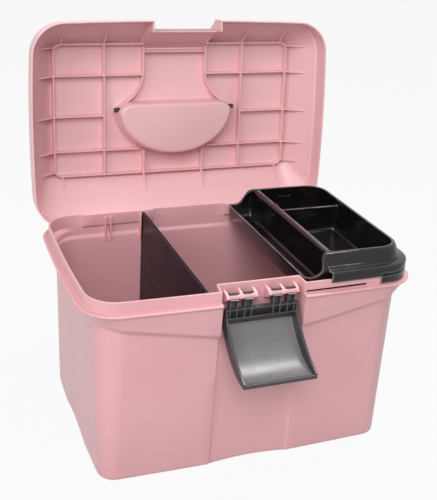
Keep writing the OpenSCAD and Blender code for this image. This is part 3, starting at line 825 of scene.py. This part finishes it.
def lid_ribs():
    """Rib lattice inside the lid."""
    high = LID_H - LID_T + 0.8
    right, near, rear = 162.1, -97.1, 75.1
    corner = 10.0
    channel = CHANNEL_HALF - RIB_T / 2
    flare = -62.0
    front_cross, middle_cross, rear_cross = CROSS_YS

    def wall(plan):
        return prism_z(RIB_LOW, high, plan)

    def straight(a, b):
        return wall(rib_plan(a, b))

    def along(points):
        a, b = strip_plan(points)
        parts = []
        for i in range(len(points) - 1):
            parts.append(wall([a[i], a[i + 1], b[i + 1], b[i]]))
        return parts

    flared = bezier((channel, flare), (channel, flare * 0.6), (DOME_FLAT + 1, DOME_Y - 7), 10)
    parts = []
    for side in (-1, 1):
        border = [(side * channel, near), (side * (right - corner), near)]
        border += [
            (side * (right - corner + corner * math.sin(t)), near + corner - corner * math.cos(t))
            for t in spread(0, math.pi / 2, 5)
        ]
        border += [(side * right, near + corner), (side * right, rear - corner)]
        border += [
            (side * (right - corner + corner * math.cos(t)), rear - corner + corner * math.sin(t))
            for t in spread(0, math.pi / 2, 5)
        ]
        border += [(side * (right - corner), rear), (0.0, rear)]
        parts += along(border)
        parts += along([(side * channel, -94.0)] + [(side * x, y) for x, y in flared])
        parts.append(straight((side * POST_X, near), (side * POST_X, rear)))
        parts.append(straight((side * SHORT_POST_X, 44), (side * SHORT_POST_X, rear)))
        parts.append(straight((side * POST_X, middle_cross), (side * right, middle_cross)))
        parts.append(straight((side * channel, front_cross), (side * right, front_cross)))
        parts.append(straight((side * 48, rear_cross), (side * right, rear_cross)))
    parts.append(straight((-channel, -87), (channel, -87)))
    return add_piece("lid_ribs", parts, "lid", "pink_plastic", bevel=0.35, matrix=OPENED)


def lid_gussets():
    """Tapering fins between the border rib and the sloped walls."""
    right, near, rear = 162, -97, 75
    wall_in = 14
    outer_x = 152
    parts = []

    def fin(x, y, dx, dy, run, tip=33):
        line = [(0, RIB_LOW), (run, tip), (run, tip + 3), (0, LID_H - 3)]
        rings = []
        for off in (-RIB_T / 2, RIB_T / 2):
            rings.append([(x + dx * d - dy * off, y + dy * d + dx * off, h) for d, h in line])
        parts.append(loft(rings))

    for side in (-1, 1):
        for y in (-93, *CROSS_YS, 69):
            fin(side * right, y, side, 0, HALF_W - wall_in - right)
        for x in (POST_X, outer_x):
            fin(side * x, near, 0, -1, HALF_D - wall_in + near)
        for x, run in ((SHORT_POST_X, 27.5), (outer_x, 23.0)):
            fin(side * x, rear, 0, 1, run, LID_H - 22)
    return add_piece("lid_gussets", parts, "lid", "pink_plastic", bevel=0.3, matrix=OPENED)


def lid_bar():
    """Narrow bar across the foot of the channel."""
    bar = box((-CHANNEL_HALF - 1, FRONT + 12.4, 15), (CHANNEL_HALF + 1, FRONT + 16.8, 18))
    return add_piece("lid_bar", [bar], "lid", "pink_plastic", bevel=0.6, matrix=OPENED)


def lid_knuckles():
    """Lid's halves of the hinge, with the arms that carry them."""
    drop = HINGE_Z - RIM_PLANE
    arm = [
        (HINGE_Y - 1.2, drop),
        (HINGE_Y + KNUCKLE_R - 0.8, drop),
        (HALF_D - 0.6, drop + 4),
        (HALF_D - 1.4, 14),
        (HALF_D - 4, 16),
        (HALF_D - 4, 1.5),
        (HINGE_Y - 1.2, drop + 4),
    ]
    parts = []
    for side in (-1, 1):
        x0 = side * HINGE_X - LID_KNUCKLE / 2
        x1 = side * HINGE_X + LID_KNUCKLE / 2
        parts.append(rod(x0, x1, HINGE_Y, drop, KNUCKLE_R))
        parts.append(prism_x(x0, x1, arm))
    return add_piece("lid_knuckles", parts, "lid", "pink_plastic", bevel=0.3, matrix=OPENED)


# Clasp, profiles as (y, z) from its axis
HEEL = (5.0, -34.0)
END = (-61.0, -72.5)
WALL_TIP = (-4.5, -24.0)
PLATE_BEND = (-26.0, -75.0)
UNDER_BEND = (-25.5, -78.4)
RIM_BEND = (-30.0, -57.0)
RIM_END = (-63.0, -69.0)


def clasp_profile(x0, x1, points):
    return prism_x(x0, x1, [(CLASP_Y + y, CLASP_Z + z) for y, z in points])


def clasp_plate():
    """Curved plate with the mould's parting line across it."""
    parting, gap, clear, depth = 0.26, 0.004, 0.012, 0.4
    steps = 40
    stations = [(i / steps, 0.0) for i in range(steps + 1) if abs(i / steps - parting) > clear]
    stations = sorted(stations + [(parting - gap, 0.0), (parting, depth), (parting + gap, 0.0)])
    line = []
    for t, sunk in stations:
        y, z = bezier_point(HEEL, PLATE_BEND, END, t)
        line.append((y + sunk * 0.7, z - sunk * 0.7))
    under = bezier((HEEL[0] + 2, HEEL[1] - 1.6), UNDER_BEND, (END[0], END[1] - CLASP_T), steps)
    plate = clasp_profile(-CLASP_HALF + 0.5, CLASP_HALF - 0.5, line + under[::-1])
    return add_piece("clasp_plate", [plate], "clasp", "black_matte", replaces="clasp")


def clasp_walls():
    """Upright leg, the wall across the bend, the side walls and the rolled end."""
    plate_top = bezier(HEEL, PLATE_BEND, END, 24)
    rim = bezier(WALL_TIP, RIM_BEND, RIM_END, 24)
    leg = [(1, -29), HEEL, (7.4, -35.6), (3.6, -27), (3.2, -13), (0.6, -13)]
    across = [
        (HEEL[0], HEEL[1] - 0.6), (HEEL[0] + 1.6, HEEL[1] + 1),
        (WALL_TIP[0] + 0.9, WALL_TIP[1] + 1.2), WALL_TIP,
    ]
    parts = [
        clasp_profile(-CLASP_HALF, CLASP_HALF, leg),
        clasp_profile(-CLASP_HALF, CLASP_HALF, across),
        rod(-CLASP_HALF, CLASP_HALF, CLASP_Y + END[0], CLASP_Z + END[1] - 0.6, 2.6, chamfer=1.0),
    ]
    side_wall = rim + [(END[0] - 2, END[1] + 1), (END[0], END[1] - 1)]
    side_wall += [(y + 0.5, z - 0.8) for y, z in plate_top[-2::-1]]
    side_wall += [(6.6, -34), (3.2, -26), (3, -13), (-2.6, -13)]
    for side in (-1, 1):
        x0, x1 = sorted((side * CLASP_HALF, side * (CLASP_HALF - CLASP_T)))
        parts.append(clasp_profile(x0, x1, side_wall))
    return add_piece("clasp_walls", parts, "clasp", "black_matte", bevel=0.5)


def clasp_ribs():
    """Ribs from the hooks down to the wall, and the rib across them."""
    upright = [(2, -4.4), (2, -29), (WALL_TIP[0] + 1.6, WALL_TIP[1] - 1), (-2.6, -7), (-1.6, -4.4)]
    crossing = [(2, -13.4), (2, -16), (-2.4, -15.6), (-2.4, -13.8)]
    half_t = 0.9
    parts = []
    for x in HOOK_XS:
        for side in (-1, 1):
            middle = x + side * (HOOK_W / 2 - half_t)
            parts.append(clasp_profile(middle - half_t, middle + half_t, upright))
    parts.append(clasp_profile(-CLASP_HALF + 1, CLASP_HALF - 1, crossing))
    return add_piece("clasp_ribs", parts, "clasp", "black_matte", bevel=0.4)


def clasp_hooks():
    """Fingers with hooks round the bars, open toward the front."""
    inner = BAR_R + FIT
    outer = BAR_R + HOOK_T
    edge = 0.6
    finger = [(0.6, -14), (3.2, -14), (4.4, -2), (2, -4), (0.6, -4.4)]
    parts = []
    for x in HOOK_XS:
        x0, x1 = x - HOOK_W / 2, x + HOOK_W / 2
        section = [
            (x0, inner), (x1, inner), (x1, outer - edge),
            (x1 - edge, outer), (x0 + edge, outer), (x0, outer - edge),
        ]
        rings = []
        for degrees in range(201, 462, 10):
            a = math.radians(degrees)
            rings.append([(px, CLASP_Y + r * math.cos(a), CLASP_Z + r * math.sin(a)) for px, r in section])
        parts.append(loft(rings))
        parts.append(clasp_profile(x0, x1, finger))
    return add_piece("clasp_hooks", parts, "clasp", "black_matte", bevel=0.3)


# Handle
def handle_bail():
    """Flat rounded grip that follows a half ellipse, with pivots into the lid."""
    half, depth, width, half_t = 70.0, 54.0, 13.0, 3.5
    pivot_r = 3.0
    steps = 48
    section = round_corners([(0, -half_t), (width, -half_t), (width, half_t), (0, half_t)], 2.4, 4)
    rings = []
    for i in range(steps + 1):
        a = math.pi * i / steps
        row = []
        for inset, h in section:
            y = HANDLE_Y + (depth - inset) * math.sin(a)
            row.append(((half - inset) * math.cos(a), y, HANDLE_UP + h))
        rings.append(row)
    parts = [loft(rings)]
    for side in (-1, 1):
        x0, x1 = sorted((side * (half - width), side * half))
        parts.append(rod(x0, x1, HANDLE_Y, HANDLE_UP, half_t))
        x0, x1 = sorted((side * (half - 2), side * (DOME_HALF + 2)))
        parts.append(rod(x0, x1, HANDLE_Y, HANDLE_UP, pivot_r))
    return add_piece("handle_bail", parts, "handle", "black_matte",
                     bevel=0.4, replaces="handle", matrix=OPENED)


# Divider
def divider_plate():
    """Plate with slimmer ends for the guide ribs and a slightly raised panel on both faces."""
    above = HALF_D - 13.6
    lower = HALF_D - BASE_IN_Y - WALL - 6.5
    top = LIP_TOP - 1.5
    foot = FLOOR_Z + FIT
    shoulder = LEDGE_Z - 8
    plate = round_corners([
        (-lower, foot), (lower, foot), (above, shoulder), (above, top), (-above, top), (-above, shoulder),
    ], 2.5, 4)
    tongue = 15
    wide, narrow = above - tongue, lower - tongue
    middle = round_corners([
        (-narrow, foot + 1), (narrow, foot + 1), (wide, shoulder),
        (wide, top - 0.3), (-wide, top - 0.3), (-wide, shoulder),
    ], 2.5, 4)
    field_half, field_low, field_top = 70, foot + 30, top - 46
    field = round_corners([
        (-field_half, field_low), (field_half, field_low), (field_half, field_top), (-field_half, field_top),
    ], 14, 6)
    parts = []
    for width, line in ((DIVIDER_T - 0.9, plate), (DIVIDER_T, middle), (DIVIDER_T + 1.2, field)):
        parts.append(prism_x(DIVIDER_X - width / 2, DIVIDER_X + width / 2, line))
    return add_piece("divider_plate", parts, "divider", "plum_black", bevel=0.5, replaces="divider")


# Tray
TRAY_LEFT = RECESS_HALF + WALL + 2.7
TRAY_MID = TRAY_LEFT + 33.8
TRAY_RIGHT = HALF_W - 17
TRAY_Y = HALF_D - 15
TRAY_T = 2.0
TRAY_LOW = LIP_TOP - 21
TRAY_HIGH = LIP_TOP + 23.5
PLATE_LOW = LIP_TOP + 6
PLATE_TOP = LIP_TOP + 8
PARTITION_Y = 46.0
INNER_R = 5.0
OUTER_R = 22.0
FOOT_IN = 6.4
EAR_X = 142.0
EAR_Y = 80.0


def tray_ring(x0, x1, y0, y1, left_r, front_r, back_r, z):
    """Plan ring with one radius at the left corners and one at each of the right."""
    points = arc(x0 + left_r, y0 + left_r, left_r, 180, 8)
    points += arc(x1 - front_r, y0 + front_r, front_r, 270, 14)
    points += arc(x1 - back_r, y1 - back_r, back_r, 0, 14)
    points += arc(x0 + left_r, y1 - left_r, left_r, 90, 8)
    return [(x, y, z) for x, y in points]


# Inside of the tray's end and right walls: height, inset from the outer wall at the ends and at the right
TRAY_INSIDE = (
    (TRAY_LOW + 2, 14.0, 13.0),
    (TRAY_LOW + 2.3, 11.5, 10.5),
    (TRAY_LOW + 3.6, 8.2, 8.2),
    (TRAY_LOW + 6.5, FOOT_IN, 7.0),
    (PLATE_LOW, 2.6, 4.6),
    (PLATE_LOW + 4, 4.0, 4.6),
    (TRAY_HIGH - 1.2, 14.0, 5.6),
    (TRAY_HIGH + 1, 14.2, 5.8),
)


def tray_cavity(x0, x1, ends, right_r):
    """Space of one compartment; ends tells which of its ends (front, back) follow the tray's end walls."""
    rings = []
    for z, in_y, in_x in TRAY_INSIDE:
        sunk = max(0.0, in_y - FOOT_IN) if z < PLATE_LOW else 0.0
        left = x0 + sunk
        right = TRAY_RIGHT - in_x if x1 is None else x1 - sunk
        front = in_y - TRAY_Y if ends[0] is None else ends[0] + sunk
        back = TRAY_Y - in_y if ends[1] is None else ends[1] - sunk
        radii = [max((right_r if end is None else INNER_R) - sunk * 0.5, 3.0) for end in ends]
        rings.append(tray_ring(left, right, front, back, INNER_R, *radii, z))
    return loft(rings)


def tray_shell():
    """Trough and main compartments, their end walls stepped down to the trough in a smooth curve."""
    # insets at the left, the right and the ends, the corner radii, and the height
    rows = (
        (3.4, 5.4, 4.4, 5.0, 23.0, TRAY_LOW),
        (2.4, 4.4, 3.4, 6.0, 24.0, TRAY_LOW + 0.5),
        (1.9, 3.9, 2.9, 6.0, 24.0, TRAY_LOW + 1.6),
        (0.0, 1.0, 0.0, 6.0, 26.0, PLATE_LOW),
        (0.0, 1.4, 5.5, 6.0, 25.0, TRAY_HIGH - 7.0),
        (0.0, 1.6, 7.2, 6.0, 25.0, TRAY_HIGH - 4.2),
        (0.0, 1.9, 8.8, 6.0, 25.0, TRAY_HIGH - 2.2),
        (0.0, 2.4, 10.3, 6.0, 24.5, TRAY_HIGH - 0.9),
        (0.0, 3.1, 11.5, 6.0, 24.0, TRAY_HIGH - 0.2),
        (0.0, 3.8, 12.4, 6.0, 23.5, TRAY_HIGH),
    )
    rings = []
    for in_left, in_right, in_y, left_r, right_r, z in rows:
        x0, x1 = TRAY_LEFT + in_left, TRAY_RIGHT - in_right
        y = TRAY_Y - in_y
        rings.append(tray_ring(x0, x1, -y, y, left_r, right_r, right_r, z))
    shell = add_object("tray_shell", mesh_from("tray_shell", [loft(rings)]))
    start, knee, end = TRAY_MID - 26, TRAY_MID - 12, TRAY_MID - 2
    knee_z, above = LIP_TOP + 11, TRAY_HIGH + 9
    step = [(start - 30, above), (start - 30, LIP_TOP)]
    step += bezier((start, LIP_TOP), (knee - 2, LIP_TOP), (knee, knee_z), 12)
    step += bezier((knee, knee_z), (knee + 2, TRAY_HIGH), (end, TRAY_HIGH + FIT), 12)[1:]
    step.append((end, above))
    half_t = TRAY_T / 2
    low_partition = box(
        (TRAY_MID + TRAY_T + 3, PARTITION_Y - 7, TRAY_HIGH - 8),
        (TRAY_RIGHT - 6.5, PARTITION_Y + 7, TRAY_HIGH + 2),
    )
    cuts = [
        prism_y(-HALF_D, HALF_D, step),
        tray_cavity(TRAY_LEFT + TRAY_T, TRAY_MID, (None, None), INNER_R),
        tray_cavity(TRAY_MID + TRAY_T, None, (PARTITION_Y + half_t, None), OUTER_R),
        tray_cavity(TRAY_MID + TRAY_T, None, (None, PARTITION_Y - half_t), OUTER_R),
        low_partition,
    ]
    for number, part in enumerate(cuts):
        carve(shell, mesh_from(f"tray_cut_{number}", [part]), "DIFFERENCE")
    return settle(shell, "tray", "black_gloss", bevel=0.6, replaces="tray")


def tray_rim():
    """Rolled top of the wall between the trough and the main compartments."""
    section = round_corners([
        (TRAY_MID - 4.6, TRAY_HIGH - 4.2), (TRAY_MID + 4, TRAY_HIGH - 3), (TRAY_MID + 4, TRAY_HIGH - 0.02),
        (TRAY_MID - 4.6, TRAY_HIGH - 0.02),
    ], 2.6, 5)
    reach = TRAY_Y - 13.0
    return add_piece("tray_rim", [prism_y(-reach, reach, section)], "tray", "black_gloss")


def tray_flange():
    """Plate and skirt that lie over the tub's lip, left out at the lid's rear corner."""
    def sweep(section, first_x):
        lines = [outline(ring(in_x, in_y, 0.0, RIM_R - in_y)) for in_x, in_y, _ in section]
        runs = [[]]
        for points in zip(*lines):
            x, y = points[0]
            if x >= first_x and not (x > EAR_X and y > EAR_Y):
                runs[-1].append([(px, py, z) for (px, py), (_, _, z) in zip(points, section)])
            elif runs[-1]:
                runs.append([])
        return [loft(rings) for rings in runs if len(rings) > 1]

    out, inside = 5.2, 6.4
    hem = LIP_TOP - 4
    plate = [
        (20.0, 16.0, PLATE_LOW), (inside, inside, PLATE_LOW), (inside, inside, hem), (out, out, hem),
        (out, out, PLATE_TOP - 1.8), (out + 0.3, out + 0.3, PLATE_TOP - 0.9),
        (out + 0.9, out + 0.9, PLATE_TOP - 0.3), (out + 1.8, out + 1.8, PLATE_TOP),
        (14.0, 11.5, PLATE_TOP), (16.0, 13.4, PLATE_TOP + 0.5),
        (17.5, 14.9, PLATE_TOP + 1.6), (18.6, 16.2, PLATE_TOP + 3.2), (20.0, 17.0, PLATE_TOP + 3.2),
    ]
    plate_start = 72.0
    foot = FLANGE_TOP + 1
    ear = [(inside, inside, LIP_TOP), (inside, inside, foot), (out, out, foot), (out, out, LIP_TOP)]
    parts = sweep(plate, plate_start) + sweep(ear, EAR_X)
    return add_piece("tray_flange", parts, "tray", "black_gloss", bevel=0.3)


tub_body()
clasp_mounts()
divider_guides()
tub_knuckles()
lid_body()
lid_ribs()
lid_gussets()
lid_bar()
lid_knuckles()
clasp_plate()
clasp_walls()
clasp_ribs()
clasp_hooks()
handle_bail()
divider_plate()
tray_shell()
tray_rim()
tray_flange()
for pin in ("hinge_pin_left", "hinge_pin_right"):
    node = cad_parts[pin]
    node.data.materials.clear()
    node.data.materials.append(MATERIALS["steel"])


# Floor, world and lamps
# the floor's half size in metres, its grey under the lamps and the share of plain white that is seen
FLOOR_HALF = 10.0
FLOOR_GREY = 0.55
FLOOR_WHITE = 0.92


def seen_directly(tree):
    """Socket that is 1 for rays from the camera and for mirror-like and clear rays, and 0 for the rest."""
    path = tree.nodes.new("ShaderNodeLightPath")
    total = path.outputs["Is Camera Ray"]
    for name in ("Is Glossy Ray", "Is Transmission Ray"):
        larger = tree.nodes.new("ShaderNodeMath")
        larger.operation = "MAXIMUM"
        tree.links.new(total, larger.inputs[0])
        tree.links.new(path.outputs[name], larger.inputs[1])
        total = larger.outputs["Value"]
    return total


def stage_floor():
    """White floor that keeps a soft part of the object's shadow."""
    size = FLOOR_HALF
    mesh = bpy.data.meshes.new("floor")
    corners = [(-size, -size, 0), (size, -size, 0), (size, size, 0), (-size, size, 0)]
    mesh.from_pydata(corners, [], [(0, 1, 2, 3)])
    floor = add_object("floor", mesh)
    material = bpy.data.materials.new("pale floor")
    material.use_nodes = True
    tree = material.node_tree
    shader = tree.nodes["Principled BSDF"]
    shader.inputs["Base Color"].default_value = (FLOOR_GREY, FLOOR_GREY, FLOOR_GREY, 1.0)
    shader.inputs["Roughness"].default_value = 0.9
    shader.inputs["Specular IOR Level"].default_value = 0.1
    white = tree.nodes.new("ShaderNodeEmission")
    white.inputs["Strength"].default_value = 1.0
    share = tree.nodes.new("ShaderNodeMath")
    share.operation = "MULTIPLY"
    share.inputs[1].default_value = FLOOR_WHITE
    tree.links.new(seen_directly(tree), share.inputs[0])
    choose = tree.nodes.new("ShaderNodeMixShader")
    tree.links.new(share.outputs["Value"], choose.inputs["Fac"])
    tree.links.new(shader.outputs["BSDF"], choose.inputs[1])
    tree.links.new(white.outputs["Emission"], choose.inputs[2])
    tree.links.new(choose.outputs["Shader"], tree.nodes["Material Output"].inputs["Surface"])
    mesh.materials.append(material)


def studio_world(light):
    """Even white surroundings: as bright as the lamps need, and plain white where they are seen."""
    world = bpy.data.worlds.new("studio")
    bpy.context.scene.world = world
    world.use_nodes = True
    tree = world.node_tree
    tree.nodes.clear()
    out = tree.nodes.new("ShaderNodeOutputWorld")
    soft = tree.nodes.new("ShaderNodeBackground")
    soft.inputs["Strength"].default_value = light
    white = tree.nodes.new("ShaderNodeBackground")
    white.inputs["Strength"].default_value = 1.0
    for background in (soft, white):
        background.inputs["Color"].default_value = (1.0, 1.0, 1.0, 1.0)
    choose = tree.nodes.new("ShaderNodeMixShader")
    tree.links.new(seen_directly(tree), choose.inputs["Fac"])
    tree.links.new(soft.outputs["Background"], choose.inputs[1])
    tree.links.new(white.outputs["Background"], choose.inputs[2])
    tree.links.new(choose.outputs["Shader"], out.inputs["Surface"])


def area_lamp(name, place, target, size, power):
    data = bpy.data.lights.new(name, "AREA")
    data.shape = "SQUARE"
    data.size = size
    data.energy = power
    lamp = bpy.data.objects.new(name, data)
    lamp.location = place
    lamp.rotation_euler = (Vector(target) - Vector(place)).to_track_quat("-Z", "Y").to_euler()
    bpy.context.scene.collection.objects.link(lamp)


WORLD_LIGHT = 0.24
# Lamps: place, target, size in metres, power in watts
LAMPS = {
    "key": ((-0.58, -1.58, 1.66), (0, 0, 0.3), 1.2, 33.0),
    "side": ((-1.8, -0.8, 1.18), (0, 0, 0.3), 1.2, 15.0),
    "rim": ((0.5, 0.26, 1.7), (0.0, -0.1, 0.15), 0.5, 14.0),
}
stage_floor()
studio_world(WORLD_LIGHT)
for name, settings in LAMPS.items():
    area_lamp(name, *settings)

# Camera at the photograph's viewing angle
AZIMUTH, ELEVATION, ROLL = -22.319, 20.83, -3.867
DISTANCE = 1.04356
TARGET = Vector((-0.01115, 0.0, 0.27413))
FOCAL_PX = 891.27
IMAGE_H = 500
CENTRE_OFF_PX = (-1.7, -45.78)


def add_camera():
    a, e, r = (math.radians(v) for v in (AZIMUTH, ELEVATION, ROLL))
    back = Vector((math.sin(a) * math.cos(e), -math.cos(a) * math.cos(e), math.sin(e)))
    right = (-back).cross(Vector((0, 0, 1))).normalized()
    down = (-back).cross(right)
    turned_right = right * math.cos(r) + down * math.sin(r)
    turned_up = right * math.sin(r) - down * math.cos(r)
    data = bpy.data.cameras.new("camera")
    data.sensor_width = 36.0
    data.lens = data.sensor_width * FOCAL_PX / IMAGE_H
    data.shift_x = -CENTRE_OFF_PX[0] / IMAGE_H
    data.shift_y = CENTRE_OFF_PX[1] / IMAGE_H
    camera = bpy.data.objects.new("camera", data)
    camera.matrix_world = Matrix((turned_right, turned_up, back)).transposed().to_4x4()
    camera.location = TARGET + back * DISTANCE
    bpy.context.scene.collection.objects.link(camera)
    bpy.context.scene.camera = camera


add_camera()
bpy.context.scene.view_settings.view_transform = "Standard"
